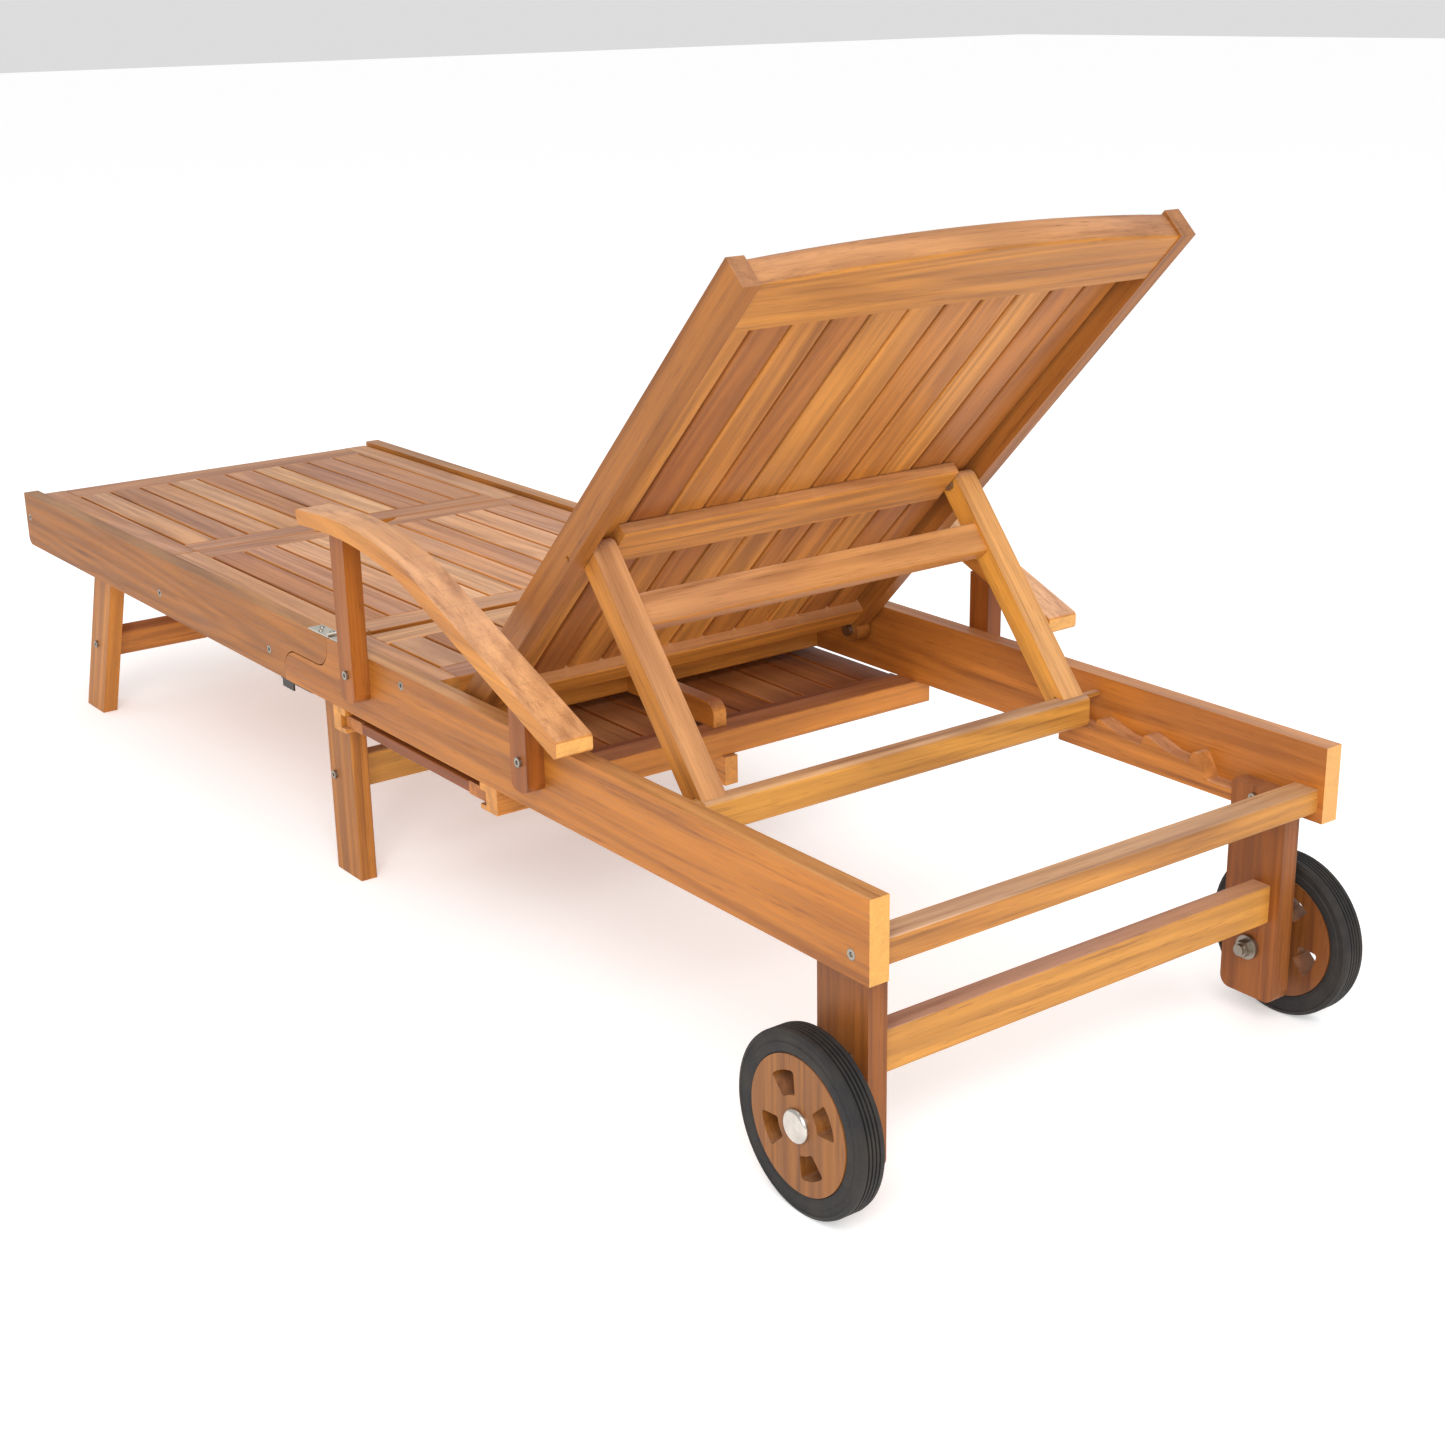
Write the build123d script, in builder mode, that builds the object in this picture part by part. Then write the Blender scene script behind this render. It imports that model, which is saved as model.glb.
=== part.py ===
from build123d import *

import os
from math import cos, radians, sin, tan

# Folding wooden sun lounger with a reclining back, a raising knee, a slide-out tray and two wheels.
# X runs across the lounger, Y from the foot end to the head end, Z up. The origin is on the floor,
# under the middle of the whole length. Left is +X and right is -X, as for a person lying on it.
os.makedirs("parts", exist_ok=True)

# Driving dimensions, in millimetres and degrees. Y values are measured from the middle of the rails.
WHEEL_OVERHANG = 26.0  # the wheels reach this far past the rails' head end
MID_Y = -WHEEL_OVERHANG / 2
RAIL_HALF = 1000.0
RAIL_OUT = 305.0
RAIL_THICK = 22.0
RAIL_BOTTOM = 236.0
RAIL_TOP = 316.0
RAIL_IN = RAIL_OUT - RAIL_THICK
FOOT_CORNER_R = 12.0
SWING_PLAY = 0.5  # the folding rails stand this far inside the fixed ones
ARRIS = 2.0

FOLD_Y = 16.0
FOLD_Z = 319.0
SEAM_R = 30.0
SEAM_Z = 276.0
SEAM_UPPER_Y = -14.0
SEAM_LOWER_Y = -76.0
SEAM_GAP = 1.6

LEG_IN = 261.0
PANEL_TOP = 310.0
PANEL_THICK = 20.0
PANEL_HALF = 280.0
STILE_WIDE = 40.0
SLAT_GAP = 4.0
PANEL_BOTTOM = PANEL_TOP - PANEL_THICK
PANEL_SLATS = 10

RECLINE = 46.0
BACK_PIVOT = (300.0, 284.0)
BACK_STILE = (258.0, 278.0)
BACK_TOP = 717.0
BACK_DEEP = 28.0
BACK_SLATS = 11
BACK_PITCH = 46.5

STRUT_S = 306.0
STRUT_FRONT = 2.0
STRUT_X = (226.0, 256.0)
STRUT_WIDE = 26.0
BAR_Y = 694.0
BAR_Z = 284.0
BAR_WIDE = 24.0
BAR_TALL = 34.0

WHEEL_Y = 938.0
WHEEL_R = 88.0
HUB_R = 66.0
WHEEL_X = (306.0, 334.0)
AXLE_R = 6.0
RUNNING_FIT = 0.05

BOLT_R = 3.0
BOLT_HEAD_R = 5.2
HEAD_TALL = 3.5
SOCKET_DEEP = 2.0
SOCKET_R = 2.6
BOLT_LONG = 46.0
HOLE = BOLT_R + RUNNING_FIT
COUNTERBORE_R = BOLT_HEAD_R + 0.3
COUNTERBORE_DEEP = HEAD_TALL + 0.3

FOOT_OUT = RAIL_OUT - SWING_PLAY
FOOT_IN = RAIL_IN - SWING_PLAY
FOOT_BOLTS = ((-985, 280), (-491, 264), (-149, 264))
HEAD_BOLTS = ((195, 302), (976, 258))
POST_BOLTS = ((106, 297), (481, 297))
PIVOT_PIN_R = 4.0
BLIND_DEEP = 17.0
THIGH_PIVOT = (-15.0, 300.0)
THIGH_PIN_DEEP = 12.0
LATCH_PIN_Y = -124.0
LATCH_SCREW_Y = -48.0
LATCH_X = 294.0
LATCH_PIN_R = 2.5
LATCH_SHANK_R = 2.5
LATCH_SCREW_R = 2.0
LATCH_HOLE_DEEP = 20.0

# Foot section.
LEG_WIDE = 63.0
FOOT_LEG_CORNER_R = 14.0
FOOT_LEG_TOP_Y = -738.3
FOOT_LEG_TOP_Z = 284.0
FOOT_LEG_FLOOR_Y = -855.9
FOOT_STRETCHER = (-816.0, 112.0)
STRETCHER_TALL = 42.0
STRETCHER_THICK = 22.0
FOOT_LEAN = 22.5
JOIST_TOP = PANEL_BOTTOM - 1
JOIST_THICK = 22.0
SEAT_JOIST = (195.0, 265.0, JOIST_THICK, 58.0, 0)
HEAD_BAR = (978.0, 258.5, 30.0, 25.0, 0)
CLEAT_Y = (-973.0, -815.0)
CLEAT_TALL = 22.0

# Deck panels.
PANEL_Z = (PANEL_BOTTOM, PANEL_TOP)
SLAT_RISE = 4.0
SLAT_Z = (PANEL_BOTTOM + SLAT_RISE, PANEL_TOP)
PANEL_INNER = PANEL_HALF - STILE_WIDE
CALF = (-998.0, -941.0, -547.0, -503.0)
THIGH = (-500.0, -458.0, -42.0, 3.0)
SCOOP_HALF = 70.0
SCOOP_DEEP = 23.0
# The knee turns on thin pins near the undersides, so the gap between the two panels opens upwards.
KNEE = ((CALF[3] + THIGH[0]) / 2, PANEL_BOTTOM + 1.4)
KNEE_PIN_R = 1.35
KNEE_PIN_X = (205.0, 262.0)
SEAT_RAISE = 4.0
SEAT = (30.0, 74.0, 196.0, 240.0)
SEAT_INNER = 256.0
SEAT_Z = (PANEL_BOTTOM + SEAT_RAISE, PANEL_TOP + SEAT_RAISE)

# Head frame.
WHEEL_LEG_BOLT = (932.0, 250.0)
MID_STRETCHER = (-33.0, 127.0)
MID_LEG_Y = (-48.0, 15.0)
WHEEL_LEG_Y = (903.0, 973.0)
WHEEL_LEG_Z = (33.0, 262.0)
WHEEL_LEG_CORNER_R = 12.0
WHEEL_STRETCHER_THICK = 24.0
WHEEL_STRETCHER = (948.0, 142.0)

# Racks that the prop stands in.
NOTCH_Y = (694.0, 762.0, 829.0)
NOTCH_PROFILE = ((-14.0, 265.0), (13.0, 262.0), (18.0, 275.0), (23.0, 275.0))
RACK_THICK = 20.0
RACK_BOTTOM = 237.0
RACK_START = (655.0, 273.0)
RACK_TAIL_Y = (868.0, 902.0)
RACK_TAIL_TOP = 249.0
RACK_ARRIS = 2.2

# Armrests.
ARM_X = (308.0, 350.0)
ARM_THICK = 19.0
ARM_CREST = (159.0, 490.0)
ARM_BEND = (330.0, 457.0)
ARM_END_Y = 591.0
ARM_FALL = 21.8
POST_X = (RAIL_OUT, 326.0)
ARM_TIP = (54.0, 486.0)
ARM_TIP_UNDER = (61.0, 469.0)
ARM_NOSE_R = 5.0
POST_Y = ((88.0, 120.0), (463.0, 494.0))
POST_BOTTOM = 264.0
FRONT_POST_TOP = 469.0
POST_CORNER_R = 9.0
POST_GAP = 0.3

# Fold hinges on the rails.
HINGE_X = (284.5, 303.5)
LEAF_LONG = 50.0
LEAF_THICK = 2.0
KNUCKLE_R = 2.7
HINGE_PIN_R = 1.4
KNUCKLE_GAP = 0.2
LEAF_PLAY = 0.8
KNUCKLE_ROOT = 1.2
HINGE_SCREW_R = 1.6
HINGE_SCREW_HEAD_R = 3.2
HINGE_SCREW_DOME = (1.2, 25.0)
HINGE_SCREWS = ((290.0, 14.0), (298.0, 27.0), (290.0, 40.0))

# Tray and what it runs in.
GUIDE_Z = (206.0, RAIL_BOTTOM)
TRAY_Y = (42.0, 368.0)
TRAY_Z = (212.0, 227.0)
TRAY_HALF = 300.0
TRAY_RAIL = 40.0
TRAY_SLATS = 13
TRAY_ARRIS = 1.5
GROOVE_PLAY = 0.6
GUIDES = (((20, 50), (38, 51)), ((360, 395), (359, 372)))
CENTRE_BOARD = 9.0
BEARER_Y = (20.0, 400.0)
BEARER_Z = (172.0, GUIDE_Z[0])
KEEPER_Y = (206.0, 380.0)
KEEPER_CORNER_R = 16.0
KEEPER_Z = (GUIDE_Z[1] + 0.2, 265.0)

# Backrest.
HEEL_R = 15.0
BACK_REAR = -5.0
HEEL_S = -10.0
HEEL_CORNER_R = 12.0
PROP_BOLT_R = 3.0
TOP_RAIL_S = 654.0
TOP_RAIL_END = 714.0
TOP_RAIL_RISE = 14.0
TOP_RAIL_INSET = 1.0
TOP_RAIL_EASE = 3.0
BOTTOM_RAIL_S = (9.0, 40.0)
BOTTOM_RAIL_FRONT = (2.0, 27.0)
SLAT_FRONT = (16.0, 27.0)
BATTEN_HALF = 222.0
BATTEN_S = (281.0, 332.0)
PIVOT_HEAD_R = 7.0
PIVOT_COLLAR_R = 8.0
PROP_HEAD_R = 6.0
PROP_WASHER_R = 6.5

# Prop.
PROP_CROSS_AT = 71.0
PROP_CROSS = (36.0, 18.0)
BAR_ROUND = 6.0
BAR_HALF = 257.0
LUG_HALF = 281.0
LUG_WIDE = 8.0
LUG_Z = (BAR_Z + 12, BAR_Z + 16)

# Wheels and axles.
WINDOWS = 4
WINDOW_R = (28.0, 51.0)
WINDOW_HALF_ANGLE = 19.0
WINDOW_TURN = 25.0
CAP_R = 16.5
CAP_DOME = 5.0
NUT_X = (248.0, 256.0)
NUT_R = 9.0
WASHER_R = 13.0
AXLE_SHOULDER_R = 10.0
CAP_EASE = 4.0
WINDOW_CORNER_R = 3.0
HUB_PLAY = 0.02
TYRE_SHOULDER = 7.0
TYRE_BEAD = 4.0

# Fold latches under the rails.
LATCH_Z = (232.5, 235.0)
LATCH_WIDE = 16.0
LATCH_SLOT = 7.0
LATCH_SLOT_EDGE = 3.5
LATCH_HEAD_R = 5.0
LATCH_TAB_Y = (-122.0, -92.0)
LATCH_TAB_Z = 223.0
LATCH_TAB_THICK = 2.0

SIDES = (("left", 1), ("right", -1))


def side(x):
    """Side-view plane at this X: sketch axes are Y from the rails' middle, and Z."""
    return Plane(origin=(x, MID_Y, 0), x_dir=(0, 1, 0), z_dir=(1, 0, 0))


def top(z):
    """Plan plane at this height: sketch axes are X, and Y from the rails' middle."""
    return Plane(origin=(0, MID_Y, z), x_dir=(1, 0, 0), z_dir=(0, 0, 1))


BACK = Plane(
    origin=(0, MID_Y + BACK_PIVOT[0], BACK_PIVOT[1]),
    x_dir=(1, 0, 0),
    z_dir=(0, -sin(radians(RECLINE)), cos(radians(RECLINE))),
)


def back_side(x):
    """Side-view plane of the backrest: sketch axes run up along it, and out of its front."""
    return Plane(origin=BACK.from_local_coords((x, 0, 0)), x_dir=BACK.y_dir, z_dir=(1, 0, 0))


def between(low, high):
    """Centre and length of a span."""
    return (low + high) / 2, high - low


def outward(sign, inner, outer):
    """X where an extrusion along +X starts, and how far it goes, for a piece on one side."""
    return (inner if sign > 0 else -outer), outer - inner


def rect(xs, ys):
    """Add a rectangle over two spans to the open sketch."""
    cx, wide = between(*xs)
    cy, tall = between(*ys)
    with Locations((cx, cy)):
        Rectangle(wide, tall)


def finish(piece, name):
    """Label a finished piece and write it."""
    piece.part.label = name
    export_step(piece.part, f"parts/{name}.step")


def ease_long_edges(axis, radius=ARRIS):
    """Round the edges of the open part that run along one axis."""
    part = BuildPart._get_context(None).part
    fillet(part.edges().filter_by(axis), radius)


def drill_across(points, radius, inner, outer, sign):
    """Drill holes along X in the open part, at side-view points, between two distances from the middle."""
    start, length = outward(sign, inner, outer)
    with BuildSketch(side(start)) as holes:
        with Locations(*points):
            Circle(radius)
    extrude(holes.sketch, amount=length, mode=Mode.SUBTRACT)


def bolts(piece_name, places):
    """Socket-head bolts across the rails, both sides: each place is (y, z, head face, shank end)."""
    with BuildPart() as group:
        for _, sign in SIDES:
            for y, z, face, tip in places:
                towards = -1 if tip < face else 1
                neck = face + towards * HEAD_TALL
                socket = face + towards * SOCKET_DEEP
                for radius, ends in ((BOLT_HEAD_R, (face, neck)), (BOLT_R, (neck, tip))):
                    start, length = outward(sign, *sorted(ends))
                    with BuildSketch(side(start)):
                        with Locations((y, z)):
                            Circle(radius)
                    extrude(amount=length)
                start, length = outward(sign, *sorted((face, socket)))
                with BuildSketch(side(start)):
                    with Locations((y, z)):
                        RegularPolygon(SOCKET_R, 6)
                extrude(amount=length, mode=Mode.SUBTRACT)
    finish(group, piece_name)


def bored_for_bolts(points, sign, out):
    """Drill a rail through for its bolts, with a counterbore for each head."""
    drill_across(points, HOLE, out - RAIL_THICK, out, sign)
    drill_across(points, COUNTERBORE_R, out - COUNTERBORE_DEEP, out, sign)


# ---------------------------------------------------------------- foot section
for label, sign in SIDES:
    start, thick = outward(sign, FOOT_IN, FOOT_OUT)
    with BuildPart() as foot_rail:
        with BuildSketch(side(start)) as outline:
            with BuildLine():
                tip = FOLD_Y - SEAM_GAP
                low = SEAM_LOWER_Y - SEAM_R - SEAM_GAP
                nose = SEAM_R - SEAM_GAP
                neck = SEAM_R + SEAM_GAP
                Polyline((low, RAIL_BOTTOM), (-RAIL_HALF, RAIL_BOTTOM), (-RAIL_HALF, RAIL_TOP),
                         (tip, RAIL_TOP), (tip, SEAM_Z + SEAM_R))
                CenterArc((SEAM_UPPER_Y, SEAM_Z + SEAM_R), nose, 0, -90)
                Line((SEAM_UPPER_Y, SEAM_Z + SEAM_GAP), (SEAM_LOWER_Y, SEAM_Z + SEAM_GAP))
                CenterArc((SEAM_LOWER_Y, SEAM_Z - SEAM_R), neck, 90, 90)
                Line((low, SEAM_Z - SEAM_R), (low, RAIL_BOTTOM))
            make_face()
            fillet(outline.vertices().group_by(Axis.X)[0].sort_by(Axis.Y)[0], FOOT_CORNER_R)
        extrude(amount=thick)
        bored_for_bolts(FOOT_BOLTS, sign, FOOT_OUT)
        drill_across([THIGH_PIVOT], PIVOT_PIN_R + RUNNING_FIT, FOOT_IN, FOOT_IN + THIGH_PIN_DEEP, sign)
        with BuildSketch(top(RAIL_BOTTOM)):
            with Locations((sign * LATCH_X, LATCH_PIN_Y)):
                Circle(LATCH_PIN_R)
        extrude(amount=LATCH_HOLE_DEEP, mode=Mode.SUBTRACT)
    finish(foot_rail, f"foot_rail_{label}")

with BuildPart() as foot_legs:
    for _, sign in SIDES:
        start, thick = outward(sign, LEG_IN - SWING_PLAY, FOOT_IN)
        with BuildSketch(side(start)) as outline:
            with BuildLine():
                Polyline((FOOT_LEG_FLOOR_Y - LEG_WIDE / 2, 0), (FOOT_LEG_FLOOR_Y + LEG_WIDE / 2, 0),
                         (FOOT_LEG_TOP_Y + LEG_WIDE / 2, FOOT_LEG_TOP_Z),
                         (FOOT_LEG_TOP_Y - LEG_WIDE / 2, FOOT_LEG_TOP_Z), close=True)
            make_face()
            fillet(outline.vertices().group_by(Axis.Y)[-1], FOOT_LEG_CORNER_R)
        extrude(amount=thick)
        drill_across([FOOT_STRETCHER], HOLE, 0, RAIL_OUT, sign)
finish(foot_legs, "foot_legs")


def cross_member(name, places, half, holes):
    """Boards that run across the lounger: each place is (y, z, thickness, height, lean in degrees)."""
    with BuildPart() as member:
        for y, z, thick, tall, lean in places:
            with BuildSketch(side(-half)):
                with Locations(Location((y, z), lean)):
                    RectangleRounded(thick, tall, ARRIS)
            extrude(amount=2 * half)
        for _, sign in SIDES:
            for y, z in holes:
                drill_across([(y, z)], HOLE, half - BOLT_LONG, half, sign)
    finish(member, name)


cross_member("foot_stretcher", [(*FOOT_STRETCHER, STRETCHER_THICK, STRETCHER_TALL, -FOOT_LEAN)],
             LEG_IN - SWING_PLAY, [FOOT_STRETCHER])
joist_z, joist_tall = between(RAIL_BOTTOM + 6, JOIST_TOP)
cross_member("foot_joists", [(y, joist_z, JOIST_THICK, joist_tall, 0) for y, _ in FOOT_BOLTS], FOOT_IN,
             FOOT_BOLTS)

with BuildPart() as ledge_cleats:
    for _, sign in SIDES:
        start, wide = outward(sign, LEG_IN, FOOT_IN)
        with BuildSketch(side(start)):
            rect(CLEAT_Y, (JOIST_TOP - CLEAT_TALL, JOIST_TOP))
        extrude(amount=wide)
finish(ledge_cleats, "ledge_cleats")


# ---------------------------------------------------------------- deck panels
def panel_stiles(name, y_span, z_span, inner, cut=None):
    """The two side boards of a slatted panel."""
    with BuildPart() as stiles:
        for _, sign in SIDES:
            x_span = sorted((sign * inner, sign * PANEL_HALF))
            with BuildSketch(top(z_span[0])):
                rect(x_span, y_span)
            extrude(amount=z_span[1] - z_span[0])
        ease_long_edges(Axis.Y)
        if cut:
            for _, sign in SIDES:
                point, radius = cut
                drill_across([point], radius, inner, PANEL_HALF, sign)
    finish(stiles, name)


def panel_cross_rails(name, spans, z_span, inner, scoop=None):
    """The boards across the ends of a slatted panel, between its stiles."""
    with BuildPart() as rails:
        for span in spans:
            with BuildSketch(top(z_span[0])):
                rect((-inner, inner), span)
            extrude(amount=z_span[1] - z_span[0])
        ease_long_edges(Axis.X)
        if scoop:
            y, half, deep = scoop
            with BuildSketch(top(z_span[0])):
                with BuildLine():
                    Spline((-half, y - 1), (-half * 0.55, y + deep), (half * 0.55, y + deep),
                           (half, y - 1))
                    Line((half, y - 1), (-half, y - 1))
                make_face()
            extrude(amount=z_span[1] - z_span[0], mode=Mode.SUBTRACT)
    finish(rails, name)


def panel_slats(name, y_span, z_span, inner, count):
    """The slats of a panel, along Y between its cross rails, evenly spaced between its stiles."""
    pitch = (2 * inner - SLAT_GAP) / count
    y_mid, length = between(*y_span)
    with BuildPart() as slats:
        with BuildSketch(top(z_span[0])):
            with Locations((0, y_mid)):
                with GridLocations(pitch, 0, count, 1):
                    Rectangle(pitch - SLAT_GAP, length)
        extrude(amount=z_span[1] - z_span[0])
        ease_long_edges(Axis.Y)
    finish(slats, name)


panel_stiles("calf_stiles", (CALF[0], CALF[3]), PANEL_Z, PANEL_INNER)
panel_cross_rails("calf_cross_rails", (CALF[:2], CALF[2:]), PANEL_Z, PANEL_INNER)
panel_slats("calf_slats", (CALF[1], CALF[2]), SLAT_Z, PANEL_INNER, PANEL_SLATS)
panel_stiles("thigh_stiles", (THIGH[0], THIGH[3]), PANEL_Z, PANEL_INNER, cut=(THIGH_PIVOT, PIVOT_PIN_R))
panel_cross_rails("thigh_cross_rails", (THIGH[:2], THIGH[2:]), PANEL_Z, PANEL_INNER,
                  scoop=(THIGH[0], SCOOP_HALF, SCOOP_DEEP))
panel_slats("thigh_slats", (THIGH[1], THIGH[2]), SLAT_Z, PANEL_INNER, PANEL_SLATS)

with BuildPart() as thigh_pins:
    for _, sign in SIDES:
        start, length = outward(sign, PANEL_INNER, FOOT_IN + THIGH_PIN_DEEP - 1)
        with BuildSketch(side(start)):
            with Locations(THIGH_PIVOT):
                Circle(PIVOT_PIN_R)
        extrude(amount=length)
        start, length = outward(sign, *KNEE_PIN_X)
        with BuildSketch(side(start)):
            with Locations(KNEE):
                Circle(KNEE_PIN_R)
        extrude(amount=length)
finish(thigh_pins, "thigh_pins")

panel_stiles("seat_stiles", (SEAT[0], SEAT[3]), SEAT_Z, SEAT_INNER, cut=(HEAD_BOLTS[0], HOLE))
panel_cross_rails("seat_cross_rails", (SEAT[:2], SEAT[2:]), SEAT_Z, SEAT_INNER)
panel_slats("seat_slats", (SEAT[1], SEAT[2]), (SEAT_Z[0] + SLAT_RISE, SEAT_Z[1]), SEAT_INNER, BACK_SLATS)

# ---------------------------------------------------------------- head frame
for label, sign in SIDES:
    start, thick = outward(sign, RAIL_IN, RAIL_OUT)
    with BuildPart() as head_rail:
        with BuildSketch(side(start)) as outline:
            with BuildLine():
                low = SEAM_LOWER_Y - SEAM_R
                Polyline((low, RAIL_BOTTOM), (RAIL_HALF, RAIL_BOTTOM), (RAIL_HALF, RAIL_TOP),
                         (FOLD_Y, RAIL_TOP), (FOLD_Y, SEAM_Z + SEAM_R))
                CenterArc((SEAM_UPPER_Y, SEAM_Z + SEAM_R), SEAM_R, 0, -90)
                Line((SEAM_UPPER_Y, SEAM_Z), (SEAM_LOWER_Y, SEAM_Z))
                CenterArc((SEAM_LOWER_Y, SEAM_Z - SEAM_R), SEAM_R, 90, 90)
                Line((low, SEAM_Z - SEAM_R), (low, RAIL_BOTTOM))
            make_face()
        extrude(amount=thick)
        bored_for_bolts(HEAD_BOLTS, sign, RAIL_OUT)
        drill_across(POST_BOLTS, HOLE, RAIL_IN + 1, RAIL_OUT, sign)
        drill_across([BACK_PIVOT], PIVOT_PIN_R, RAIL_IN, RAIL_IN + BLIND_DEEP, sign)
        drill_across([WHEEL_LEG_BOLT], HOLE, RAIL_IN, RAIL_IN + BLIND_DEEP, sign)
        with BuildSketch(top(RAIL_BOTTOM)):
            with Locations((sign * LATCH_X, LATCH_SCREW_Y)):
                Circle(LATCH_SCREW_R)
        extrude(amount=LATCH_HOLE_DEEP, mode=Mode.SUBTRACT)
    finish(head_rail, f"head_rail_{label}")

with BuildPart() as mid_legs:
    for _, sign in SIDES:
        start, thick = outward(sign, LEG_IN, RAIL_IN)
        with BuildSketch(side(start)):
            rect(MID_LEG_Y, (0, SEAM_Z - 1))
        extrude(amount=thick)
        drill_across([MID_STRETCHER], HOLE, 0, RAIL_OUT, sign)
        ease_long_edges(Axis.Z)
finish(mid_legs, "mid_legs")

with BuildPart() as wheel_legs:
    for _, sign in SIDES:
        start, thick = outward(sign, LEG_IN, RAIL_IN)
        with BuildSketch(side(start)) as outline:
            rect(WHEEL_LEG_Y, WHEEL_LEG_Z)
            fillet(outline.vertices().group_by(Axis.Y)[0], WHEEL_LEG_CORNER_R)
        extrude(amount=thick)
        drill_across([WHEEL_STRETCHER, WHEEL_LEG_BOLT], HOLE, 0, RAIL_OUT, sign)
        drill_across([(WHEEL_Y, WHEEL_R)], AXLE_R, 0, RAIL_OUT, sign)
        with BuildSketch(side(start)):
            rect((HEAD_BAR[0] - HEAD_BAR[2] / 2, WHEEL_LEG_Y[1]),
                 (HEAD_BAR[1] - HEAD_BAR[3] / 2, WHEEL_LEG_Z[1]))
        extrude(amount=thick, mode=Mode.SUBTRACT)
finish(wheel_legs, "wheel_legs")
cross_member("leg_stretchers", [(*MID_STRETCHER, STRETCHER_THICK, STRETCHER_TALL, 0),
                                (*WHEEL_STRETCHER, WHEEL_STRETCHER_THICK, STRETCHER_TALL, 0)],
             LEG_IN, [MID_STRETCHER, WHEEL_STRETCHER])
cross_member("head_crossbar", [HEAD_BAR], RAIL_IN, [HEAD_BOLTS[1]])
cross_member("seat_joist", [SEAT_JOIST], RAIL_IN, [])

# ---------------------------------------------------------------- racks that the prop stands in
with BuildPart() as racks:
    for _, sign in SIDES:
        start, thick = outward(sign, RAIL_IN - RACK_THICK, RAIL_IN)
        with BuildSketch(side(start)) as outline:
            with BuildLine():
                points = [(RACK_START[0], RACK_BOTTOM), RACK_START]
                for y in NOTCH_Y:
                    points += [(y + along, height) for along, height in NOTCH_PROFILE]
                points += [(RACK_TAIL_Y[0], RACK_TAIL_TOP), (RACK_TAIL_Y[1], RACK_TAIL_TOP),
                           (RACK_TAIL_Y[1], RACK_BOTTOM)]
                Polyline(*points, close=True)
            make_face()
            corners = outline.vertices().filter_by(lambda v: RACK_START[0] + 1 < v.X < RACK_TAIL_Y[1] - 1)
            fillet(corners, RACK_ARRIS)
        extrude(amount=thick)
finish(racks, "racks")


# ---------------------------------------------------------------- armrests
fall = (cos(radians(ARM_FALL)), -sin(radians(ARM_FALL)))
arm_end = (ARM_END_Y, ARM_BEND[1] - (ARM_END_Y - ARM_BEND[0]) * tan(radians(ARM_FALL)))
post_drop = ARM_THICK / cos(radians(ARM_FALL)) + POST_GAP
under_bend = (ARM_BEND[0] + ARM_THICK * fall[1], ARM_BEND[1] - ARM_THICK * fall[0])
under_end = (ARM_END_Y, arm_end[1] - ARM_THICK / fall[0])


def arm_underside(y):
    """Height of the arm's underside on its straight, sloping stretch."""
    return ARM_BEND[1] - (y - ARM_BEND[0]) * tan(radians(ARM_FALL)) - post_drop


with BuildPart() as arms:
    for _, sign in SIDES:
        start, wide = outward(sign, *ARM_X)
        with BuildSketch(side(start)) as outline:
            with BuildLine():
                Spline(ARM_TIP, ARM_CREST, ARM_BEND, tangents=((1, 0.05), fall))
                Polyline(ARM_BEND, arm_end, under_end, under_bend)
                Spline(under_bend, (ARM_CREST[0], ARM_CREST[1] - ARM_THICK), ARM_TIP_UNDER,
                       tangents=((-fall[0], -fall[1]), (-1, -0.05)))
                Line(ARM_TIP_UNDER, ARM_TIP)
            make_face()
            fillet(outline.vertices().group_by(Axis.X)[0], ARM_NOSE_R)
            fillet(outline.vertices().group_by(Axis.X)[-1], ARM_NOSE_R)
        extrude(amount=wide)
finish(arms, "arms")

with BuildPart() as arm_posts:
    for _, sign in SIDES:
        start, wide = outward(sign, *POST_X)
        with BuildSketch(side(start)) as outline:
            rect(POST_Y[0], (POST_BOTTOM, FRONT_POST_TOP))
            with BuildLine():
                near, far = POST_Y[1]
                Polyline((near, POST_BOTTOM), (far, POST_BOTTOM), (far, arm_underside(far)),
                         (near, arm_underside(near)), close=True)
            make_face()
            fillet(outline.vertices().filter_by(lambda v: v.Y < POST_BOTTOM + 1), POST_CORNER_R)
        extrude(amount=wide)
        drill_across(POST_BOLTS, HOLE, *POST_X, sign)
finish(arm_posts, "arm_posts")

# ---------------------------------------------------------------- fold hinges on the rails
third = (HINGE_X[1] - HINGE_X[0]) / 3
OUTER_BARRELS = ((HINGE_X[0], HINGE_X[0] + third), (HINGE_X[1] - third, HINGE_X[1]))
MIDDLE_BARREL = ((HINGE_X[0] + third + KNUCKLE_GAP, HINGE_X[1] - third - KNUCKLE_GAP),)


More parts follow.
